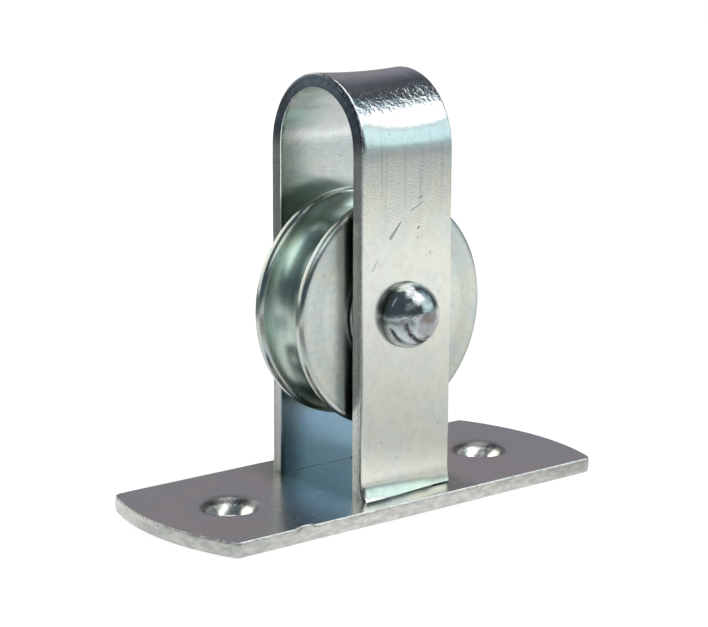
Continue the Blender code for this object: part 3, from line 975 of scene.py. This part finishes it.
def strap_edge(place, depth, bend):
    """Colour of the sheared edge, its torn band and its grain.

    The band inside it is burnished, and the edge is darker round the bend and at the far foot.
    """
    parts = split(place)
    grain = cloud(stretched(place, (1.0, 1.0, 0.45)), 4.2, 3.0, 0.65)
    waver = times(cloud(place, 0.8), 0.6)
    torn = spread(plus(depth, waver), *TORN_DEPTH)
    speckle = blend(spread(grain, 0.38, 0.64), *EDGE_TORN)
    burnished = blend(spread(grain, 0.35, 0.65), *EDGE_BURNISHED)
    colour = blend(torn, burnished, speckle)
    colour = blend(times(bend, 0.94), colour, EDGE_AT_BEND)
    far_side = spread(parts["Y"], *FAR_SIDE_Y)
    far_foot = times(spread(parts["Z"], *FAR_FOOT_HEIGHT, out_high=0.75), far_side)
    return blend(far_foot, colour, EDGE_AT_FAR_FOOT), torn, grain


def strap_scratches(place):
    deepest = 0.0
    for start, end, width, strength in GOUGES:
        start, end = ((x, NEAR_FACE_Y, z) for x, z in (start, end))
        mark = place_group(GOUGE, {"Vector": place, "Start": start, "End": end, "Width": width})
        deepest = calc("MAXIMUM", times(mark["Mask"], strength), deepest)
    return deepest


def strap_material():
    material, shader, place, normal = new_metal("strap_zinc", 0.30)
    parts = split(place)
    lean = size_of(split(normal)["X"])
    rise = calc("MAXIMUM", minus(parts["Z"], (STRAP_HIGH.z - LEG_FACE) * MILLIMETRES), 0.0)
    depth = minus(LEG_FACE * MILLIMETRES, hypotenuse(parts["Y"], rise))
    from_axle = hypotenuse(parts["X"], minus(parts["Z"], AXLE.z * MILLIMETRES))
    outside = spread(depth, *OUTER_SKIN_DEPTH)
    sheared = spread(lean, 0.55, 0.85)
    bend = spread(parts["Z"], *BEND_HEIGHT)
    # painted shade and reflection: the inner faces grow dark and bluish towards the plate
    inner = blend(spread(parts["Z"], *INSIDE_SHADE_HEIGHT), *STRAP_INSIDE_PAINTED_SHADE)
    # painted shade: a dark ring on the inner faces just outside the wheel's rim, for the wheel's reflection
    inner = blend(spread(from_axle, *WHEEL_SHADE_RADIUS, out_high=0.72), inner, STRAP_PAINTED_WHEEL_SHADE)
    # painted shade on the near leg's inner face
    inner = blend(spread(parts["Y"], *NEAR_INSIDE_SHADE_Y), inner, STRAP_NEAR_INSIDE_SHADE)
    # painted sheen: the bend is darker and bluer than the legs
    outer = blend(bend, STRAP_SATIN, STRAP_BEND_SHEEN)
    colour = film_over(blend(outside, inner, outer), place, 0.10, 0.20)
    mottle = spread(cloud(place, 0.7, *PATCHY), 0.40, 0.68, out_high=0.18)
    colour = blend(mottle, colour, STRAP_MOTTLE)
    drawn = spread(cloud(stretched(place, (1.5, 1.5, 0.03)), 1.0, *GRAINY), 0.52, 0.66)
    streaks = times(drawn, band(parts["Z"], STREAK_RISE, STREAK_FALL), outside, 0.30)
    colour = blend(streaks, colour, STRAP_STREAK)
    marks = place_group(HANDLING, {"Vector": place, "Scale": 0.55})
    colour = blend(times(marks["Specks"], 0.35), colour, STRAP_SPECK)
    scratches = strap_scratches(place)
    colour = blend(scratches, colour, STRAP_GOUGE)
    # painted shade round the foot of each rivet head
    colour = blend(spread(from_axle, *RIVET_SHADE_RADIUS, out_high=0.20), colour, STRAP_RIVET_SHADE)
    edge, torn, grain = strap_edge(place, depth, bend)
    colour = blend(sheared, colour, edge)
    # worn corner of the bend, lightened partly as wear and partly as a painted highlight
    worn_highlight = times(band(lean, (0.25, 0.50), (0.93, 0.72)), bend, spread(grain, 0.46, 0.56))
    feed(shader, "Base Color", blend(worn_highlight, colour, STRAP_CORNER_WORN_HIGHLIGHT))
    rough = plus(graded(marks["Rubs"], 0.16, 0.23), times(worn_highlight, 0.30), times(bend, -0.01))
    rough = plus(rough, graded(outside, 0.06, 0.0), times(sheared, graded(torn, -0.04, 0.08)))
    feed(shader, "Roughness", rough)
    cracked = graded(band(parts["Z"], CRACKLE_RISE, CRACKLE_FALL), 0.10, 1.0)
    bump = relief(shader, times(cloud(place, 1.15, 2.5, 0.55), bend, outside, cracked), CRACKLE_RELIEF)
    bump = relief(shader, times(grain, sheared), EDGE_RELIEF, bump)
    bump = relief(shader, minus(1.0, scratches), GOUGE_RELIEF, bump)
    relief(shader, cloud(place, 2.6, *GRAINY), SKIN_RELIEF, bump)
    return material


def plate_material():
    material, shader, place, normal = new_metal("plate_zinc", 0.24)
    parts = split(place)
    lean = size_of(split(normal)["Z"])
    sheared = spread(lean, 0.75, 0.35)
    # painted shade and reflection of the legs, darkest between them
    waver = times(cloud(place, 0.16, *GRAINY), STRAP_SHADE_WAVER)
    strap_shade = spread(plus(size_of(parts["X"]), waver), *STRAP_SHADE_X)
    strap_shade = times(strap_shade, spread(size_of(parts["Y"]), *STRAP_SHADE_Y, out_low=0.6))
    colour = film_over(blend(strap_shade, PLATE_ZINC, PLATE_STRAP_SHADE), place, 0.06, 0.24)
    marks = place_group(HANDLING, {"Vector": place, "Scale": 0.42})
    colour = blend(times(marks["Specks"], 0.5), colour, PLATE_SPECK)
    grain = cloud(stretched(place, (0.5, 0.5, 1.2)), 0.9, *PATCHY)
    colour = blend(sheared, colour, blend(spread(grain, 0.36, 0.66), *PLATE_EDGE))
    broken = band(lean, (0.15, 0.40), (0.95, 0.75))
    # worn top break, lightened partly as wear and partly as a painted highlight
    worn_highlight = times(broken, spread(cloud(place, 1.4, *GRAINY), 0.42, 0.56), spread(parts["Z"], *WORN_HIGHLIGHT_HEIGHT))
    colour = blend(worn_highlight, colour, PLATE_WORN_HIGHLIGHT)
    from_hole = hypotenuse(minus(size_of(parts["X"]), SCREW_X * MILLIMETRES), parts["Y"])
    # painted highlight inside each countersink
    colour = blend(spread(from_hole, *DISH_HIGHLIGHT_RADIUS), colour, DISH_PAINTED_HIGHLIGHT)
    # painted shade round each countersink's lip
    colour = blend(times(band(from_hole, LIP_SHADE_RISE, LIP_SHADE_FALL), 0.8), colour, DISH_LIP_SHADE)
    feed(shader, "Base Color", colour)
    torn_end = times(broken, spread(parts["X"], *TORN_END_X, out_high=0.35))
    rubs = graded(marks["Rubs"], 0.26, 0.35)
    feed(shader, "Roughness", plus(rubs, torn_end, times(sheared, 0.03), times(worn_highlight, 0.32)))
    bump = relief(shader, cloud(place, 0.20), PLATE_WAVE_RELIEF)
    bump = relief(shader, times(grain, sheared), PLATE_EDGE_RELIEF, bump)
    relief(shader, cloud(place, 2.2, *GRAINY), SKIN_RELIEF, bump)
    return material


def turned_material(name, plating, roughness, film_strength, pitch, depth):
    """Metal with lathe lines round its axle and a thin film over its plating."""
    material, shader, place, _ = new_metal(name, roughness)
    lines = place_group(TURNING, {"Vector": place, "Pitch": pitch})
    colour = film_over(plating, place, 0.10, film_strength)
    darker = spread(lines["Sheen"], 0.35, 0.65, 0.16, 0.0)
    colour = blend(darker, colour, tuple(value * TURNED_SHADE for value in plating))
    feed(shader, "Base Color", colour)
    feed(shader, "Roughness", spread(lines["Sheen"], 0.3, 0.7, roughness + 0.05, roughness - 0.03))
    relief(shader, lines["Height"], depth)
    return material


def sheave_material():
    """The wheel's plating: satin faces, darker rims and a groove with a green tint, painted lighter as a
    painted highlight.
    """
    material, shader, place, _ = new_metal("sheave_zinc", 0.20)
    parts = split(place)
    groove_half = (SHEAVE_HALF - SHEAVE_RIM) * MILLIMETRES
    rim_radius = SHEAVE_RADIUS * MILLIMETRES
    groove = spread(size_of(parts["Y"]), *(groove_half + step for step in GROOVE_EDGE))
    rim = spread(hypotenuse(parts["X"], parts["Z"]), *(rim_radius - step for step in RIM_EDGE))
    # the groove is tinted green, and painted lighter as a painted highlight
    plating = blend(groove, SHEAVE_FACE, SHEAVE_GROOVE_TINT_AND_LIGHT)
    plating = blend(times(rim, graded(groove, 1.0, 0.3)), plating, SHEAVE_RIM_ZINC)
    colour = film_over(plating, place, 0.16, 0.36)
    lines = place_group(TURNING, {"Vector": place, "Pitch": 2.2})
    shade = times(spread(lines["Sheen"], 0.38, 0.62, 1.0, 0.0), graded(groove, 0.22, 0.30))
    colour = blend(shade, colour, SHEAVE_LINES)
    mottle = spread(cloud(place, 0.9, *PATCHY), 0.42, 0.68, out_high=0.24)
    colour = blend(mottle, colour, SHEAVE_MOTTLE)
    marks = place_group(HANDLING, {"Vector": place, "Scale": 0.6})
    feed(shader, "Base Color", blend(times(marks["Specks"], 0.30), colour, SHEAVE_SPECK))
    feed(shader, "Roughness", plus(graded(marks["Rubs"], 0.25, 0.31), times(groove, 0.06)))
    round_axle = add_node(material.node_tree, "ShaderNodeTangent", direction_type="RADIAL", axis="Y")
    feed(shader, "Tangent", round_axle.outputs["Tangent"])
    shader.inputs["Anisotropic Rotation"].default_value = BRUSHING_TURN
    shader.inputs["Anisotropic"].default_value = BRUSHING
    bump = relief(shader, times(lines["Height"], graded(groove, 0.55, 1.0)), WHEEL_LINE_RELIEF)
    relief(shader, cloud(place, 2.4, *GRAINY), SKIN_RELIEF, bump)
    return material


def rivet_crease(parts):
    """Mask of the darker line along the rivet set's crescent."""
    turn = calc("ARCTAN2", parts["Z"], parts["X"])
    turn = minus(turn, times(calc("GREATER_THAN", turn, math.pi / 2), 2 * math.pi))
    start, end = RIVET_CREASE_TURNS
    inner, outer = (radius * MILLIMETRES for radius in RIVET_CREASE_RADII)
    middle = spread(turn, RIVET_CREASE_SWING, end, inner, outer)
    gap = size_of(minus(hypotenuse(parts["X"], parts["Z"]), middle))
    across = spread(gap, RIVET_CREASE_WIDTH * MILLIMETRES, CREASE_DARK_CORE)
    along = band(turn, (start, start + RIVET_CREASE_TAPER), (end, end - RIVET_CREASE_TAPER))
    return times(along, across)


def rivet_material():
    material, shader, place, _ = new_metal("rivet_zinc", 0.12)
    parts = split(place)
    colour = film_over(RIVET_ZINC, place, 0.30, 0.12)
    patch = spread(cloud(place, 0.55, *PATCHY), 0.50, 0.68)
    colour = blend(times(patch, 0.55), colour, RIVET_PATCH)
    seat = RIVET_SEAT * MILLIMETRES
    # painted shade round the foot of the head
    foot = spread(size_of(parts["Y"]), *(seat + rise for rise in RIVET_FOOT_SHADE_RISE))
    colour = blend(foot, colour, RIVET_FOOT_SHADE)
    smear = hypotenuse(minus(parts["X"], SMEAR_X), times(parts["Z"], SMEAR_SQUASH))
    smear = plus(smear, times(cloud(place, 0.8, *GRAINY), SMEAR_WAVER))
    smear = spread(smear, *SMEAR_REACH, out_high=0.85)
    colour = blend(smear, colour, RIVET_SMEAR)
    # the crescent is coloured darker along its middle
    crease_dark = times(rivet_crease(parts), spread(cloud(place, 1.6), 0.30, 0.52))
    feed(shader, "Base Color", blend(crease_dark, colour, RIVET_CREASE_DARK))
    feed(shader, "Roughness", plus(graded(patch, 0.15, 0.28), times(smear, 0.16), times(crease_dark, 0.3)))
    lines = place_group(TURNING, {"Vector": place, "Pitch": 3.0})
    bump = relief(shader, lines["Height"], RIVET_LINE_RELIEF)
    relief(shader, cloud(place, 0.9, *GRAINY), RIVET_DENT_RELIEF, bump)
    return material


# Studio: angles in degrees

CAMERA_AZIMUTH = -39.4721
CAMERA_ELEVATION = 11.9135
CAMERA_ROLL = 0.2204
CAMERA_TARGET = Vector((-0.0015145, 0.0, 0.0321302))
CAMERA_DISTANCE = 0.36029
CAMERA_LENS = 105.62           # millimetres, as the sensor
CAMERA_SENSOR = 36.0
CAMERA_CLIP = (0.01, 50.0)
FLOOR_SIZE = 8.0
FLOOR_DROP = 0.0002
FLOOR_GREY = 0.40
FLOOR_GLOW = 0.80
WORLD_LIGHT = 0.50
PANEL_SIZE = (0.75, 1.3)
PANEL_POWER = 6.0
PANEL_PLACE = (34.0, 52.0)
PANEL_DISTANCE = 1.08
PAPER_EDGE_BRIGHT = (0.290, 0.470)  # the white paper's edge fades between these distances, as metal shows it
PAPER_EDGE_DARK = (0.122, 0.168)    # the same at the dark side
PAPER_EDGE_POWER = 3.0
TABLE_TONES = (0.25, 0.38)     # the table beyond the paper, at its left rear and at its right front
TABLE_FAR_GAIN = 1.5           # the table's bright side is lighter towards the window
TABLE_FAR_REACH = 0.9
TABLE_BRIGHT_SIDE = 41.0
TABLE_COLOUR = (0.90, 0.97, 1.0)
TABLE_RINGS = 4
SHADED_PAPER_REACH = (0.024, 0.19)
SHADED_PAPER_FEATHER = 16.0
SHADED_PAPER_ENDS = 1.0 / 6.0
ROOM_RADIUS = 2.5
ROOM_ELEVATIONS = (-10.0, 90.0)
ROOM_NEAR_GAIN = 0.8           # the room is a little lighter on the camera's side
ROOM_NEAR_SIDE = -59.0
ROOM_COLOUR = (0.66, 0.86, 1.0)
ROOM_GLOW = 0.07
SHEET_STEPS = 24
FULL_TURN = 360.0
WHOLE = (0.0, 1.0)
CARD_DISTANCE = 1.2
CARDS = (                      # azimuths, elevations, soft edge at sides, bottom and top, colour, strength
    ("key_window", (8.0, 64.0), (25.0, 64.0), (9.0, 5.0, 4.0), (1.0, 1.0, 1.0), 2.3),
    ("overhead_window", (-20.0, 168.0), (57.0, 88.0), (12.0, 4.0, 3.0), (1.0, 1.0, 1.0), 2.1),
    ("blue_fringe", (56.0, 86.0), (8.0, 52.0), (9.0, 8.0, 12.0), (0.55, 0.82, 1.0), 0.50),
    ("side_window", (33.0, 77.0), (-5.0, 28.0), (5.0, 14.0, 5.0), (0.80, 1.0, 1.0), 1.34),
    ("right_window", (102.0, 130.0), (-2.0, 22.0), (7.0, 4.0, 7.0), (1.0, 1.0, 0.88), 1.15),
    ("rear_window", (161.0, 228.0), (0.0, 46.0), (8.0, 5.0, 8.0), (1.0, 1.0, 0.94), 1.8),
    ("low_window", (-144.0, -126.0), (1.0, 9.0), (5.0, 2.0, 3.0), (0.93, 1.0, 1.0), 2.0),
    ("front_window", (-26.0, 6.0), (15.0, 38.0), (8.0, 6.0, 6.0), (0.92, 1.0, 0.96), 0.6),
    ("rear_wall", (92.0, 166.0), (0.0, 54.0), (8.0, 4.0, 26.0), (0.97, 0.91, 1.0), 0.32),
)
GROOVE_CARD_X = (-0.036, -0.012)
GROOVE_CARD_Y = -0.0115
GROOVE_CARD_Z = (0.046, 0.066)
GROOVE_CARD_FEATHER = 0.25
GROOVE_CARD_COLOUR = (0.88, 1.0, 0.95)
GROOVE_CARD_GLOW = 1.6
# Painted shade: sheets seen only in the metal, for the paper round the roller that lies in shade
SHADED_PAPERS = (              # azimuths, tones close by and far off, colour, and where the tone changes
    ("shaded_paper", (-112.0, 14.0), (0.88, 0.34), (0.95, 1.0, 1.0), (0.16, 0.46)),
    ("near_paper_shade", (4.0, 124.0), (0.66, 1.0), (1.0, 1.0, 1.0), (0.0, 1.0)),
)


def direction(azimuth, elevation):
    """Unit vector; azimuth 0 is the near side and 90 the right end of the plate."""
    a = math.radians(azimuth)
    e = math.radians(elevation)
    return Vector((math.sin(a) * math.cos(e), -math.cos(a) * math.cos(e), math.sin(e)))


def between(pair, share):
    return pair[0] + (pair[1] - pair[0]) * share


def edge_fade(value, pair, feather):
    """0 at either end of a pair, and 1 from a feather's width inside them."""
    return smooth_step(min(value - pair[0], pair[1] - value), 0.0, feather)


def make_camera():
    back = direction(CAMERA_AZIMUTH, CAMERA_ELEVATION)
    data = bpy.data.cameras.new("photo_camera")
    data.sensor_width = CAMERA_SENSOR
    data.lens = CAMERA_LENS
    data.clip_start, data.clip_end = CAMERA_CLIP
    camera = add_object("photo_camera", data)
    turn = back.to_track_quat("Z", "Y").to_matrix().to_4x4()
    place = Matrix.Translation(CAMERA_TARGET + back * CAMERA_DISTANCE)
    camera.matrix_world = place @ turn @ Matrix.Rotation(math.radians(CAMERA_ROLL), 4, "Z")
    bpy.context.scene.camera = camera


def seen_rays(tree):
    """1 for rays from the camera, from metal and through glass, 0 for the rest."""
    path = add_node(tree, "ShaderNodeLightPath").outputs
    seen = calc("MAXIMUM", path["Is Camera Ray"], path["Is Glossy Ray"])
    return calc("MAXIMUM", seen, path["Is Transmission Ray"])


def make_floor():
    """White paper, which keeps the roller's shadow."""
    material, tree = new_material("white_paper")
    shader = tree.nodes["Principled BSDF"]
    shader.inputs["Base Color"].default_value = (FLOOR_GREY, FLOOR_GREY, FLOOR_GREY, 1.0)
    shader.inputs["Roughness"].default_value = 1.0
    shader.inputs["Specular IOR Level"].default_value = 0.0
    shader.inputs["Emission Color"].default_value = (1.0, 1.0, 1.0, 1.0)
    feed(shader, "Emission Strength", times(seen_rays(tree), FLOOR_GLOW))
    work = bmesh.new()
    bmesh.ops.create_grid(work, x_segments=1, y_segments=1, size=FLOOR_SIZE / 2)
    floor = new_piece("paper_floor", work, (0.0, 0.0, -FLOOR_DROP))
    floor.data.materials.append(material)


def glow_material(name, colour, strength):
    """A plain glow that fades out where its sheet's fade is 0 and dims with its sheet's tone."""
    material, tree = new_material(name)
    tree.nodes.remove(tree.nodes["Principled BSDF"])
    fade = add_node(tree, "ShaderNodeAttribute", attribute_name="fade").outputs["Fac"]
    tone = add_node(tree, "ShaderNodeAttribute", attribute_name="tone").outputs["Fac"]
    light = {"Color": (*colour, 1.0), "Strength": times(tone, strength)}
    glow = add_node(tree, "ShaderNodeEmission", light).outputs[0]
    clear = add_node(tree, "ShaderNodeBsdfTransparent").outputs[0]
    mixed = add_node(tree, "ShaderNodeMixShader", {0: fade, 1: clear, 2: glow}).outputs[0]
    feed(tree.nodes["Material Output"], "Surface", mixed)
    return material


def glow_sheet(name, point_at, colour, strength, columns=SHEET_STEPS, rows=SHEET_STEPS):
    """A glowing surface, seen only in the metal.

    The function point_at gives a point, its fade and its tone for a share of the columns and of the rows.
    """
    work = bmesh.new()
    fade_layer = work.verts.layers.float.new("fade")
    tone_layer = work.verts.layers.float.new("tone")
    grid = []
    for j in range(rows + 1):
        line = []
        for i in range(columns + 1):
            point, fade, tone = point_at(i / columns, j / rows)
            vertex = work.verts.new(point)
            vertex[fade_layer] = fade
            vertex[tone_layer] = tone
            line.append(vertex)
        grid.append(line)
    for lower, upper in zip(grid, grid[1:]):
        for i in range(columns):
            work.faces.new((lower[i], lower[i + 1], upper[i + 1], upper[i]))
    sheet = new_piece(name, work)
    sheet.data.materials.append(glow_material(name, colour, strength))
    sheet.visible_camera = False
    sheet.visible_diffuse = False
    sheet.visible_shadow = False
    sheet.visible_transmission = False


def make_card(name, azimuths, elevations, feather, colour, strength):
    """A curved studio card round the axle."""
    def point_at(across, up):
        azimuth = between(azimuths, across)
        elevation = between(elevations, up)
        fade = edge_fade(azimuth, azimuths, feather[0])
        fade *= smooth_step(elevation - elevations[0], 0.0, feather[1])
        fade *= smooth_step(elevations[1] - elevation, 0.0, feather[2])
        return AXLE_ON_CENTRE + direction(azimuth, elevation) * CARD_DISTANCE, fade, 1.0

    glow_sheet(name, point_at, colour, strength)


def make_groove_card():
    """A small card close to the wheel's left side, which brightens the upper part of its groove."""
    def point_at(across, up):
        fade = edge_fade(across, WHOLE, GROOVE_CARD_FEATHER)
        fade *= edge_fade(up, WHOLE, GROOVE_CARD_FEATHER)
        place = Vector((between(GROOVE_CARD_X, across), GROOVE_CARD_Y, between(GROOVE_CARD_Z, up)))
        return place, fade, 1.0

    glow_sheet("groove_card", point_at, GROOVE_CARD_COLOUR, GROOVE_CARD_GLOW)


def make_room():
    """The unlit room round the table, as the metal shows it."""
    def point_at(around, up):
        azimuth = FULL_TURN * around
        facing = math.cos(math.radians(azimuth - ROOM_NEAR_SIDE))
        place = direction(azimuth, between(ROOM_ELEVATIONS, up)) * ROOM_RADIUS
        return place, 1.0, 1.0 + ROOM_NEAR_GAIN * max(facing, 0.0)

    glow_sheet("dim_room", point_at, ROOM_COLOUR, ROOM_GLOW, columns=2 * SHEET_STEPS)


def make_table():
    """The table beyond the white paper, which ends sooner and is darker at the left rear."""
    def point_at(out, around):
        azimuth = FULL_TURN * around
        side = (1.0 + math.cos(math.radians(azimuth - TABLE_BRIGHT_SIDE))) / 2
        dark = (1.0 - side) ** PAPER_EDGE_POWER
        edge = [between(pair, dark) for pair in zip(PAPER_EDGE_BRIGHT, PAPER_EDGE_DARK)]
        rings = [(between(edge, fade), fade, 1.0) for fade in (0.0, 0.5, 1.0)]
        rings += [(reach, 1.0, TABLE_FAR_GAIN) for reach in (TABLE_FAR_REACH, ROOM_RADIUS)]
        radius, fade, gain = rings[round(out * TABLE_RINGS)]
        tone = between((TABLE_TONES[0], TABLE_TONES[1] * gain), side ** 2)
        return direction(azimuth, 0.0) * radius + Vector((0.0, 0.0, 2.0 * FLOOR_DROP)), fade, tone

    glow_sheet("dim_table", point_at, TABLE_COLOUR, 1.0, columns=TABLE_RINGS, rows=4 * SHEET_STEPS)


def make_shaded_paper(name, azimuths, tones, colour, change):
    """Paper beside the roller, seen only in the metal and dimmer than the rest: painted shade in the
    reflections.
    """
    def point_at(across, out):
        azimuth = between(azimuths, across)
        fade = edge_fade(azimuth, azimuths, SHADED_PAPER_FEATHER)
        fade *= edge_fade(out, WHOLE, SHADED_PAPER_ENDS)
        place = direction(azimuth, 0.0) * between(SHADED_PAPER_REACH, out)
        return place + Vector((0.0, 0.0, FLOOR_DROP)), fade, between(tones, smooth_step(out, *change))

    glow_sheet(name, point_at, colour, 1.0)


def make_panel():
    """The large soft lamp that lights the paper; in the metal the cards stand for it."""
    data = bpy.data.lights.new("overhead_panel", "AREA")
    data.shape = "RECTANGLE"
    data.size, data.size_y = PANEL_SIZE
    data.energy = PANEL_POWER
    panel = add_object("overhead_panel", data)
    towards = direction(*PANEL_PLACE)
    panel.location = AXLE + towards * PANEL_DISTANCE
    panel.rotation_mode = "QUATERNION"
    panel.rotation_quaternion = towards.to_track_quat("Z", "Y")
    panel.visible_glossy = False


def make_world():
    world = bpy.data.worlds.new("white_surround")
    bpy.context.scene.world = world
    world.use_nodes = True
    background = world.node_tree.nodes["Background"]
    background.inputs["Color"].default_value = (1.0, 1.0, 1.0, 1.0)
    feed(background, "Strength", graded(seen_rays(world.node_tree), WORLD_LIGHT, 1.0))


def make_stage():
    make_floor()
    make_room()
    make_table()
    for paper in SHADED_PAPERS:
        make_shaded_paper(*paper)
    make_panel()
    for card in CARDS:
        make_card(*card)
    make_groove_card()
    make_world()
    bpy.context.scene.view_settings.view_transform = "Standard"


make_strap(strap_material())
make_plate(plate_material())
make_rivet(rivet_material())
make_sheave(sheave_material())
make_rings({slot: turned_material(slot, *finish) for slot, finish in TURNED_FINISHES.items()})
make_camera()
make_stage()
